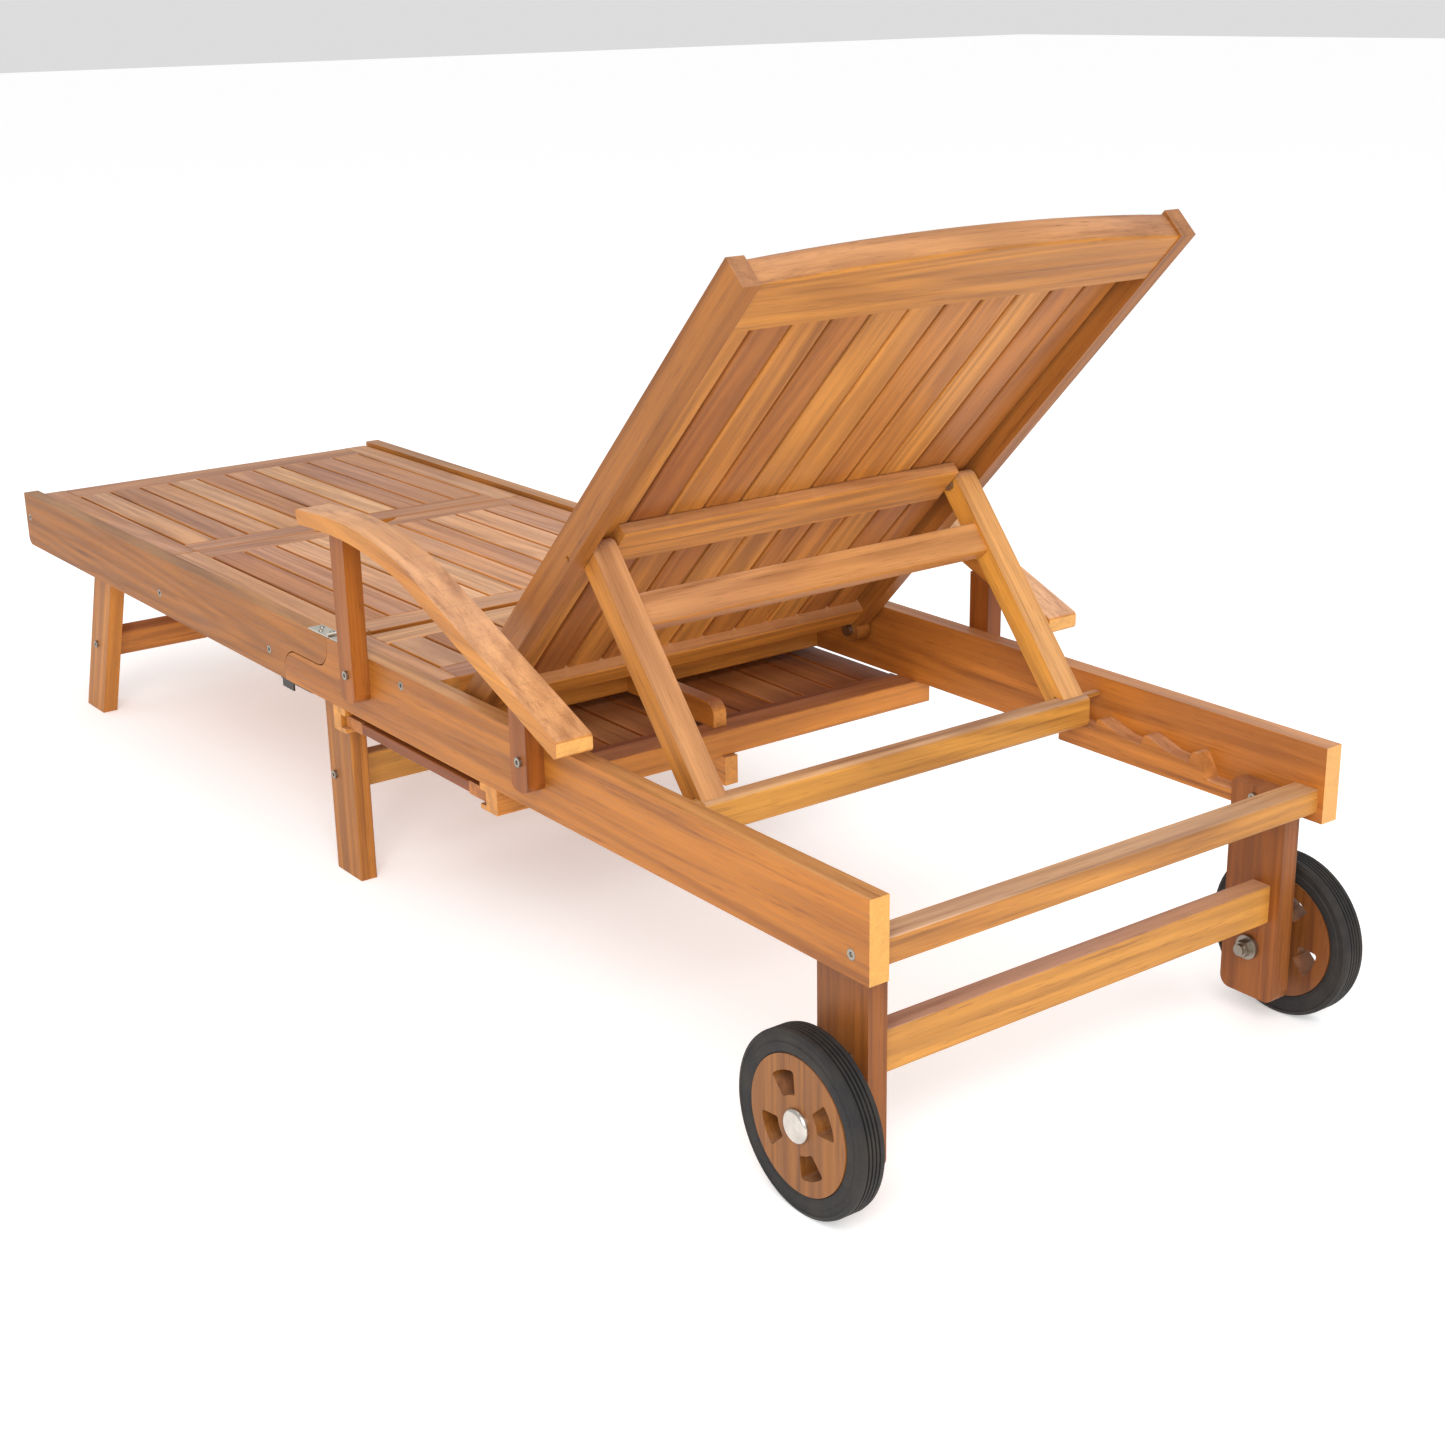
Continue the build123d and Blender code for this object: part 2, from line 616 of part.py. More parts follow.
def hinge_leaf(name, barrels, towards):
    """One leaf of each butt hinge: towards is -1 for the foot leaf and 1 for the frame leaf."""
    clear = KNUCKLE_R + LEAF_PLAY
    screws = [(x, FOLD_Y + towards * y) for x, y in HINGE_SCREWS]
    with BuildPart() as leaf:
        for _, sign in SIDES:
            with BuildSketch(top(RAIL_TOP)):
                ys = sorted((FOLD_Y + towards * clear, FOLD_Y + towards * LEAF_LONG))
                rect(sorted((sign * HINGE_X[0], sign * HINGE_X[1])), ys)
                for low, high in barrels:
                    root = sorted((FOLD_Y + towards * KNUCKLE_ROOT, FOLD_Y + towards * (clear + 1)))
                    rect(sorted((sign * low, sign * high)), root)
                with Locations(*[(sign * x, y) for x, y in screws]):
                    Circle(HINGE_SCREW_R + RUNNING_FIT, mode=Mode.SUBTRACT)
            extrude(amount=LEAF_THICK)
            for low, high in barrels:
                start, wide = outward(sign, low, high)
                with BuildSketch(side(start)):
                    with Locations((FOLD_Y, FOLD_Z)):
                        Circle(KNUCKLE_R)
                extrude(amount=wide)
            start, wide = outward(sign, *HINGE_X)
            with BuildSketch(side(start)):
                with Locations((FOLD_Y, FOLD_Z)):
                    Circle(HINGE_PIN_R + RUNNING_FIT)
            extrude(amount=wide, mode=Mode.SUBTRACT)
    finish(leaf, name)


def hinge_screws(name, towards):
    """Domed screws that stand in the rails and hold one leaf of each hinge."""
    with BuildPart() as screws:
        for _, sign in SIDES:
            places = [(sign * x, FOLD_Y + towards * y) for x, y in HINGE_SCREWS]
            with BuildSketch(top(RAIL_TOP + 0.1)):
                with Locations(*places):
                    Circle(HINGE_SCREW_R)
            extrude(amount=LEAF_THICK)
            with BuildSketch(top(RAIL_TOP + LEAF_THICK)):
                with Locations(*places):
                    Circle(HINGE_SCREW_HEAD_R)
            extrude(amount=HINGE_SCREW_DOME[0], taper=HINGE_SCREW_DOME[1])
    finish(screws, name)


hinge_leaf("hinge_leaves_foot", OUTER_BARRELS, -1)
hinge_leaf("hinge_leaves_head", MIDDLE_BARREL, 1)
hinge_screws("hinge_screws_foot", -1)
hinge_screws("hinge_screws_head", 1)
with BuildPart() as hinge_pins:
    for _, sign in SIDES:
        start, wide = outward(sign, *HINGE_X)
        with BuildSketch(side(start)):
            with Locations((FOLD_Y, FOLD_Z)):
                Circle(HINGE_PIN_R)
        extrude(amount=wide)
finish(hinge_pins, "hinge_pins")

# ---------------------------------------------------------------- tray and what it runs in
groove_z = (TRAY_Z[0] - GROOVE_PLAY, TRAY_Z[1] + GROOVE_PLAY)
with BuildPart() as tray_guides:
    for span, _ in GUIDES:
        with BuildSketch(side(-RAIL_OUT)):
            rect(span, GUIDE_Z)
        extrude(amount=2 * RAIL_OUT)
    ease_long_edges(Axis.X)
    for _, groove in GUIDES:
        with BuildSketch(side(-RAIL_OUT)):
            rect(groove, groove_z)
        extrude(amount=2 * RAIL_OUT, mode=Mode.SUBTRACT)
finish(tray_guides, "tray_guides")

with BuildPart() as tray_centre_boards:
    with BuildSketch(side(-CENTRE_BOARD)) as outline:
        rect(BEARER_Y, BEARER_Z)
        rect(KEEPER_Y, KEEPER_Z)
        corner = outline.vertices().filter_by(lambda v: v.X < KEEPER_Y[1] + 1).sort_by(Axis.X)[-2:]
        fillet(corner.sort_by(Axis.Y)[-1], KEEPER_CORNER_R)
    extrude(amount=2 * CENTRE_BOARD)
finish(tray_centre_boards, "tray_centre_boards")

with BuildPart() as tray_rails:
    with BuildSketch(top(TRAY_Z[0])):
        rect((-TRAY_HALF, TRAY_HALF), (TRAY_Y[0], TRAY_Y[0] + TRAY_RAIL))
        rect((-TRAY_HALF, TRAY_HALF), (TRAY_Y[1] - TRAY_RAIL, TRAY_Y[1]))
    extrude(amount=TRAY_Z[1] - TRAY_Z[0])
    ease_long_edges(Axis.X, TRAY_ARRIS)
finish(tray_rails, "tray_rails")

tray_pitch = (2 * TRAY_HALF + SLAT_GAP) / TRAY_SLATS
tray_mid, tray_slat = between(TRAY_Y[0] + TRAY_RAIL, TRAY_Y[1] - TRAY_RAIL)
with BuildPart() as tray_slats:
    with BuildSketch(top(TRAY_Z[0] + 1)):
        with Locations((0, tray_mid)):
            with GridLocations(tray_pitch, 0, TRAY_SLATS, 1):
                Rectangle(tray_pitch - SLAT_GAP, tray_slat)
    extrude(amount=TRAY_Z[1] - TRAY_Z[0] - 2)
    ease_long_edges(Axis.Y, TRAY_ARRIS)
finish(tray_slats, "tray_slats")

# ---------------------------------------------------------------- backrest
with BuildPart() as back_stiles:
    for _, sign in SIDES:
        start, thick = outward(sign, *BACK_STILE)
        with BuildSketch(back_side(start)) as outline:
            rect((HEEL_S, BACK_TOP), (BACK_REAR, BACK_DEEP))
            fillet(outline.vertices().group_by(Axis.X)[0].sort_by(Axis.Y)[-1], HEEL_CORNER_R)
            Circle(HEEL_R)
        extrude(amount=thick)
        with BuildSketch(back_side(start)):
            Circle(PIVOT_PIN_R + RUNNING_FIT)
            with Locations((STRUT_S, STRUT_FRONT)):
                Circle(PROP_BOLT_R)
        extrude(amount=thick, mode=Mode.SUBTRACT)
finish(back_stiles, "back_stiles")

stile_in = BACK_STILE[0]
with BuildPart() as back_top_rail:
    with BuildSketch(BACK.offset(BACK_REAR + TOP_RAIL_INSET)):
        with BuildLine():
            Polyline((-stile_in, TOP_RAIL_END), (-stile_in, TOP_RAIL_S), (stile_in, TOP_RAIL_S),
                     (stile_in, TOP_RAIL_END))
            ThreePointArc((stile_in, TOP_RAIL_END), (0, TOP_RAIL_END + TOP_RAIL_RISE),
                          (-stile_in, TOP_RAIL_END))
        make_face()
    extrude(amount=BACK_DEEP - BACK_REAR - 2 * TOP_RAIL_INSET)
    fillet(back_top_rail.edges().filter_by(GeomType.CIRCLE), TOP_RAIL_EASE)
finish(back_top_rail, "back_top_rail")

with BuildPart() as back_bottom_rail:
    with BuildSketch(BACK.offset(BOTTOM_RAIL_FRONT[0])):
        rect((-stile_in, stile_in), BOTTOM_RAIL_S)
    extrude(amount=BOTTOM_RAIL_FRONT[1] - BOTTOM_RAIL_FRONT[0])
    ease_long_edges(Axis.X)
finish(back_bottom_rail, "back_bottom_rail")

back_mid, back_slat = between(BOTTOM_RAIL_S[1], TOP_RAIL_S)
with BuildPart() as back_slats:
    with BuildSketch(BACK.offset(SLAT_FRONT[0])):
        with Locations((0, back_mid)):
            with GridLocations(BACK_PITCH, 0, BACK_SLATS, 1):
                Rectangle(BACK_PITCH - SLAT_GAP, back_slat)
    extrude(amount=SLAT_FRONT[1] - SLAT_FRONT[0])
    along = back_slats.edges().filter_by(lambda e: e.length > back_slat / 2)
    fillet(along, ARRIS)
finish(back_slats, "back_slats")

with BuildPart() as back_batten:
    with BuildSketch(BACK.offset(1)):
        rect((-BATTEN_HALF, BATTEN_HALF), BATTEN_S)
    extrude(amount=SLAT_FRONT[0] - 1)
    ease_long_edges(Axis.X)
finish(back_batten, "back_batten")

with BuildPart() as back_pivot_bolts:
    for _, sign in SIDES:
        for radius, low, high in ((PIVOT_HEAD_R, stile_in - 6, stile_in - 0.3),
                                  (PIVOT_PIN_R, stile_in - 1, RAIL_IN + BLIND_DEEP - 1),
                                  (PIVOT_COLLAR_R, BACK_STILE[1] + 0.3, RAIL_IN)):
            start, length = outward(sign, low, high)
            with BuildSketch(back_side(start)):
                Circle(radius)
            extrude(amount=length)
finish(back_pivot_bolts, "back_pivot_bolts")

# ---------------------------------------------------------------- prop
strut_top = BACK.from_local_coords((0, STRUT_S, STRUT_FRONT))
bar = Vector(0, MID_Y + BAR_Y, BAR_Z)
reach = bar - strut_top
STRUT_LONG = reach.length


def prop_side(x):
    """Side-view plane of the prop: the first sketch axis runs down the struts from their pivot."""
    return Plane(origin=(x, strut_top.Y, strut_top.Z), x_dir=tuple(reach), z_dir=(1, 0, 0))


with BuildPart() as prop_struts:
    for _, sign in SIDES:
        start, thick = outward(sign, *STRUT_X)
        with BuildSketch(prop_side(start)):
            Circle(STRUT_WIDE / 2)
            rect((0, STRUT_LONG), (-STRUT_WIDE / 2, STRUT_WIDE / 2))
            Circle(PROP_BOLT_R + RUNNING_FIT, mode=Mode.SUBTRACT)
        extrude(amount=thick)
        with BuildSketch(side(start)):
            with Locations((BAR_Y, BAR_Z)):
                Rectangle(BAR_WIDE, BAR_TALL)
        extrude(amount=thick, mode=Mode.SUBTRACT)
finish(prop_struts, "prop_struts")

with BuildPart() as prop_foot_bar:
    with BuildSketch(side(-BAR_HALF)) as outline:
        with Locations((BAR_Y, BAR_Z)):
            RectangleRounded(BAR_WIDE, BAR_TALL, BAR_ROUND)
    extrude(amount=2 * BAR_HALF)
    for _, sign in SIDES:
        start, length = outward(sign, BAR_HALF, LUG_HALF)
        with BuildSketch(side(start)):
            rect((BAR_Y - LUG_WIDE / 2, BAR_Y + LUG_WIDE / 2), LUG_Z)
        extrude(amount=length)
finish(prop_foot_bar, "prop_foot_bar")

with BuildPart() as prop_cross_bar:
    with BuildSketch(prop_side(-STRUT_X[0])):
        with Locations((PROP_CROSS_AT, 0)):
            RectangleRounded(*PROP_CROSS, ARRIS)
    extrude(amount=2 * STRUT_X[0])
finish(prop_cross_bar, "prop_cross_bar")

with BuildPart() as prop_bolts:
    for _, sign in SIDES:
        for radius, low, high in ((PROP_HEAD_R, STRUT_X[0] - 4, STRUT_X[0] - 0.2),
                                  (PROP_BOLT_R, STRUT_X[0] - 1, BACK_STILE[1] - 4),
                                  (PROP_WASHER_R, STRUT_X[1] + 0.2, BACK_STILE[0])):
            start, length = outward(sign, low, high)
            with BuildSketch(prop_side(start)):
                Circle(radius)
            extrude(amount=length)
finish(prop_bolts, "prop_bolts")


# ---------------------------------------------------------------- wheels and axles
inner_r, outer_r = WINDOW_R
side_cos = cos(radians(WINDOW_HALF_ANGLE))
side_sin = sin(radians(WINDOW_HALF_ANGLE))
with BuildSketch() as window:
    with BuildLine():
        CenterArc((0, 0), outer_r, -WINDOW_HALF_ANGLE, 2 * WINDOW_HALF_ANGLE)
        CenterArc((0, 0), inner_r, -WINDOW_HALF_ANGLE, 2 * WINDOW_HALF_ANGLE)
        Line((outer_r * side_cos, outer_r * side_sin), (inner_r * side_cos, inner_r * side_sin))
        Line((outer_r * side_cos, -outer_r * side_sin), (inner_r * side_cos, -inner_r * side_sin))
    make_face()
    fillet(window.vertices(), WINDOW_CORNER_R)

for label, sign in SIDES:
    wheel_end = Plane(origin=(0, MID_Y + WHEEL_Y, WHEEL_R), x_dir=(0, 1, 0), z_dir=(sign, 0, 0))
    spin = Plane(origin=wheel_end.origin, x_dir=(0, 1, 0), z_dir=(0, 0, 1 if sign < 0 else -1))
    with BuildPart() as wheel_hub:
        with BuildSketch(wheel_end.offset(WHEEL_X[0])):
            Circle(HUB_R - HUB_PLAY)
            Circle(AXLE_R + RUNNING_FIT, mode=Mode.SUBTRACT)
            with PolarLocations(0, WINDOWS, start_angle=WINDOW_TURN):
                add(window.sketch, mode=Mode.SUBTRACT)
        extrude(amount=WHEEL_X[1] - WHEEL_X[0])
    finish(wheel_hub, f"wheel_hub_{label}")

    with BuildPart() as tyre:
        with BuildSketch(spin):
            with BuildLine():
                near, far = WHEEL_X
                edge = WHEEL_R - TYRE_SHOULDER
                Polyline((edge, near), (HUB_R + TYRE_BEAD, near), (HUB_R, near + 1), (HUB_R, far - 1),
                         (HUB_R + TYRE_BEAD, far), (edge, far))
                RadiusArc((edge, far), (WHEEL_R, far - TYRE_SHOULDER), TYRE_SHOULDER)
                Line((WHEEL_R, far - TYRE_SHOULDER), (WHEEL_R, near + TYRE_SHOULDER))
                RadiusArc((WHEEL_R, near + TYRE_SHOULDER), (edge, near), TYRE_SHOULDER)
            make_face()
        revolve(axis=Axis(wheel_end.origin, (1, 0, 0)))
    finish(tyre, f"wheel_tyre_{label}")

    with BuildPart() as wheel_cap:
        with BuildSketch(wheel_end.offset(WHEEL_X[1])):
            Circle(CAP_R)
        extrude(amount=CAP_DOME)
        fillet(wheel_cap.faces().filter_by(Axis.X).sort_by(Axis.X)[-1 if sign > 0 else 0].edges(), CAP_EASE)
    finish(wheel_cap, f"wheel_cap_{label}")

with BuildPart() as axles:
    for _, sign in SIDES:
        for radius, low, high in ((AXLE_R, NUT_X[0] - 4, WHEEL_X[1] - 1),
                                  (AXLE_SHOULDER_R, RAIL_IN + 0.2, WHEEL_X[0] - 0.5)):
            start, length = outward(sign, low, high)
            with BuildSketch(side(start)):
                with Locations((WHEEL_Y, WHEEL_R)):
                    Circle(radius)
            extrude(amount=length)
finish(axles, "axles")

with BuildPart() as axle_nuts:
    for _, sign in SIDES:
        start, length = outward(sign, *NUT_X)
        with BuildSketch(side(start)):
            with Locations((WHEEL_Y, WHEEL_R)):
                RegularPolygon(NUT_R, 6)
                Circle(AXLE_R, mode=Mode.SUBTRACT)
        extrude(amount=length)
finish(axle_nuts, "axle_nuts")

with BuildPart() as axle_washers:
    for _, sign in SIDES:
        start, length = outward(sign, NUT_X[1], LEG_IN)
        with BuildSketch(side(start)):
            with Locations((WHEEL_Y, WHEEL_R)):
                Circle(WASHER_R)
                Circle(AXLE_R, mode=Mode.SUBTRACT)
        extrude(amount=length)
finish(axle_washers, "axle_washers")

# ---------------------------------------------------------------- fold latches under the rails
for label, sign in SIDES:
    with BuildPart() as latch:
        with BuildSketch(top(LATCH_Z[0])) as outline:
            with Locations((sign * LATCH_X, (LATCH_SCREW_Y + LATCH_PIN_Y) / 2)):
                SlotCenterToCenter(LATCH_SCREW_Y - LATCH_PIN_Y, LATCH_WIDE, rotation=90)
            with Locations((sign * LATCH_X, LATCH_SCREW_Y)):
                Circle(LATCH_SHANK_R + RUNNING_FIT, mode=Mode.SUBTRACT)
            slot_x = sorted((sign * (LATCH_X + LATCH_SLOT_EDGE), sign * (LATCH_X - LATCH_WIDE)))
            slot_y = (LATCH_PIN_Y - LATCH_SLOT, LATCH_PIN_Y + LATCH_SLOT_EDGE)
            with Locations(((slot_x[0] + slot_x[1]) / 2, (slot_y[0] + slot_y[1]) / 2)):
                Rectangle(slot_x[1] - slot_x[0], slot_y[1] - slot_y[0], mode=Mode.SUBTRACT)
        extrude(amount=LATCH_Z[1] - LATCH_Z[0])
        edge = LATCH_X + LATCH_WIDE / 2
        with BuildSketch(top(LATCH_TAB_Z)):
            rect(sorted((sign * (edge - LATCH_TAB_THICK), sign * edge)), LATCH_TAB_Y)
        extrude(amount=LATCH_Z[1] - LATCH_TAB_Z)
    finish(latch, f"latch_{label}")

with BuildPart() as latch_screws:
    for _, sign in SIDES:
        for radius, low, high in ((LATCH_HEAD_R, LATCH_Z[0] - 2, LATCH_Z[0] - 0.1),
                                  (LATCH_SHANK_R, LATCH_Z[0] - 1, RAIL_BOTTOM),
                                  (LATCH_SCREW_R, RAIL_BOTTOM - 1, RAIL_BOTTOM + 18)):
            with BuildSketch(top(low)):
                with Locations((sign * LATCH_X, LATCH_SCREW_Y)):
                    Circle(radius)
            extrude(amount=high - low)
finish(latch_screws, "latch_screws")

with BuildPart() as latch_pins:
    with BuildSketch(top(LATCH_Z[0] - 2)):
        with Locations((LATCH_X, LATCH_PIN_Y), (-LATCH_X, LATCH_PIN_Y)):
            Circle(LATCH_PIN_R)
    extrude(amount=22)
finish(latch_pins, "latch_pins")

# ---------------------------------------------------------------- bolts
def with_head(points, face):
    """Bolt places with their heads at one distance from the middle."""
    return [(y, z, face, face - BOLT_LONG) for y, z in points]


bolts("bolts_foot", with_head(FOOT_BOLTS, FOOT_OUT) + with_head([FOOT_STRETCHER], FOOT_IN + HEAD_TALL))
bolts("bolts_head", with_head(HEAD_BOLTS, RAIL_OUT)
      + with_head([MID_STRETCHER], RAIL_IN + HEAD_TALL)
      + with_head([WHEEL_STRETCHER], RAIL_IN + HEAD_TALL)
      + [(y, z, POST_X[1] + HEAD_TALL, RAIL_IN + 2) for y, z in POST_BOLTS]
      + [(*WHEEL_LEG_BOLT, LEG_IN - HEAD_TALL, RAIL_IN + BLIND_DEEP - 1)])
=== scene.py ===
"""Folding wooden sun lounger: materials, treaded tyres, soft edges, studio floor, light and camera."""

from math import cos, pi, radians, sin

import bmesh
import bpy
from mathutils import Matrix, Vector


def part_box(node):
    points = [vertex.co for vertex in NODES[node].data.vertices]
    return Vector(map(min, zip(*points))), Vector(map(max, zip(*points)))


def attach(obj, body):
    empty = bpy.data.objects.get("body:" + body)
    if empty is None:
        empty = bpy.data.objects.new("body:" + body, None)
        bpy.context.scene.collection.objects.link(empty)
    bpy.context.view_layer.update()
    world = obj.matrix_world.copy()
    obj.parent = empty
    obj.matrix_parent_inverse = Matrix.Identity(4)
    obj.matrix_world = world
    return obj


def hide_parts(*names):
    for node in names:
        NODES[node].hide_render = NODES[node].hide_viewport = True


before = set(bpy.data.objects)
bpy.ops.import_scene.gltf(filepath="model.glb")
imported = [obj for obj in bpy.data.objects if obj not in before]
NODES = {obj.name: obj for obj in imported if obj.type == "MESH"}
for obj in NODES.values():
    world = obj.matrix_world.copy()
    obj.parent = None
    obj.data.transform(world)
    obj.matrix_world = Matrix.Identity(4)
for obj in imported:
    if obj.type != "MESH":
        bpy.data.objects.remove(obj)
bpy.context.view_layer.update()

MM = 0.001
# Angles of the sloping pieces at rest, in degrees.
RECLINE = 46.0
PROP_LEAN = 50.5
FOOT_LEAN = 67.5
ARM_LEAN = 9.0
# How far the boards' edges are rounded.
ARRIS = 1.6 * MM
ARM_ARRIS = 3.5 * MM


# ------------------------------------------------------------------ node helpers
class Graph:
    """A small helper that builds one material's node graph."""

    def __init__(self, name):
        self.material = bpy.data.materials.new(name)
        self.material.use_nodes = True
        self.tree = self.material.node_tree
        self.shader = next(n for n in self.tree.nodes if n.type == "BSDF_PRINCIPLED")

    def node(self, kind, inputs=None, **settings):
        made = self.tree.nodes.new("ShaderNode" + kind)
        for key, value in settings.items():
            setattr(made, key, value)
        for key, value in (inputs or {}).items():
            self.feed(made.inputs[key], value)
        return made

    def feed(self, socket, value):
        if isinstance(value, bpy.types.NodeSocket):
            self.tree.links.new(value, socket)
        else:
            socket.default_value = value

    def math(self, operation, a, b=0.0, c=0.0):
        return self.node("Math", {0: a, 1: b, 2: c}, operation=operation).outputs[0]

    def vector(self, operation, a, b=(0.0, 0.0, 0.0)):
        return self.node("VectorMath", {0: a, 1: b}, operation=operation).outputs["Vector"]

    def scale(self, a, factor):
        made = self.node("VectorMath", {0: a, "Scale": factor}, operation="SCALE")
        return made.outputs["Vector"]

    def noise(self, place, scale, detail=2.0, rough=0.5, distortion=0.0):
        made = self.node("TexNoise", {"Vector": place, "Scale": scale, "Detail": detail,
                                      "Roughness": rough, "Distortion": distortion})
        return made.outputs["Fac"]

    def span(self, value, low, high, to_low=0.0, to_high=1.0):
        made = self.node("MapRange", {"Value": value, "From Min": low, "From Max": high,
                                      "To Min": to_low, "To Max": to_high},
                         interpolation_type="SMOOTHSTEP")
        return made.outputs["Result"]

    def mix(self, factor, a, b):
        made = self.node("Mix", data_type="RGBA")
        self.feed(made.inputs["Factor"], factor)
        self.feed(made.inputs["A"], a)
        self.feed(made.inputs["B"], b)
        return made.outputs["Result"]

    def ramp(self, value, stops):
        made = self.node("ValToRGB", {"Fac": value})
        ramp = made.color_ramp
        while len(ramp.elements) < len(stops):
            ramp.elements.new(0.5)
        for element, (place, colour) in zip(ramp.elements, stops):
            element.position = place
            element.color = colour
        return made.outputs["Color"]

    def bump(self, height, strength, distance):
        made = self.node("Bump", {"Height": height, "Strength": strength, "Distance": distance})
        self.feed(self.shader.inputs["Normal"], made.outputs["Normal"])

    def set(self, **values):
        for key, value in values.items():
            self.feed(self.shader.inputs[key.replace("_", " ")], value)


def rgb(red, green, blue):
    """Linear colour from sRGB values of 0 to 255."""
    def channel(value):
        value /= 255.0
        return value / 12.92 if value <= 0.04045 else ((value + 0.055) / 1.055) ** 2.4
    return (channel(red), channel(green), channel(blue), 1.0)


# ------------------------------------------------------------------ wood
SIDE_TONES = [(0.0, rgb(158, 90, 34)), (0.35, rgb(200, 126, 46)), (0.7, rgb(214, 142, 56)),
              (1.0, rgb(176, 102, 38))]
# TOP_TONES are paler than SIDE_TONES: painted light on faces that look up.
TOP_TONES = [(0.0, rgb(156, 102, 72)), (0.2, rgb(204, 154, 114)), (0.4, rgb(170, 118, 88)),
             (0.6, rgb(212, 164, 120)), (0.8, rgb(184, 132, 101)), (1.0, rgb(196, 144, 103))]
END_TONE = rgb(240, 184, 108)
HONEY = rgb(206, 134, 50)
PLAIN = (1.0, 1.0, 1.0)
UMBER = rgb(96, 46, 18)
GRAIN_TURNS = {
    # way of the grain: the rotation that lays it along Y
    "x": (0.0, 0.0, pi / 2),
    "y": (0.0, 0.0, 0.0),
    "z": (-pi / 2, 0.0, 0.0),
    "back": (-radians(RECLINE), 0.0, 0.0),
    "prop": (radians(PROP_LEAN), 0.0, 0.0),
    "foot_leg": (-radians(FOOT_LEAN), 0.0, 0.0),
    "arm": (radians(ARM_LEAN), 0.0, 0.0),
}
FIGURE = {
    # pattern: (squeeze along the grain, noise scale, detail, roughness, distortion)
    "rings": (0.055, 9.0, 2.0, 0.45, 0.3),
    "bands": (0.03, 66.0, 3.0, 0.6, 0.0),
    "fibre": (0.02, 420.0, 3.0, 0.6, 0.0),
    "pores": (0.035, 900.0, 1.0, 0.5, 0.0),
    "blotches": (0.4, 5.5, 2.0, 0.5, 0.0),
    "streaks": (0.03, 120.0, 4.0, 0.62, 0.4),
}
BOARD_SHIFT = 3.0  # moves the pattern by up to this much from board to board
RING_COUNT = 95.0
# Where each pattern fades in, and how strongly it colours the wood.
BANDS_FADE = (0.3, 0.75)
PORES_FADE = (0.62, 0.74)
BLOTCHES_FADE = (0.35, 0.7)
STREAKS_FADE = (0.5, 0.76)
UPWARD_FADE = (0.35, 0.9)
END_FADE = (0.8, 0.97)
RINGS_DEPTH = 0.2
BANDS_DEPTH = 0.34
PORES_DEPTH = 0.35
STREAKS_DEPTH = 0.5
HONEY_DEPTH = 0.35
END_DEPTH = 0.15
FIBRE_LIGHT = 0.5
LEAST_LIGHT = 0.82
# The arms' faint layer lines.
LAYER_THICK = 6.2 * MM
LINE_SHARE = 0.07
LINE_LIGHT = 0.86
# Oiled surface.
WOOD_ROUGH = (0.42, 0.6)
WOOD_IOR = 1.46
WOOD_SPECULAR = 0.42
WOOD_COAT = 0.06
WOOD_COAT_ROUGH = 0.35
WOOD_BUMP = (0.18, 0.4 * MM)
PORES_HEIGHT = -0.6
RINGS_HEIGHT = 0.25


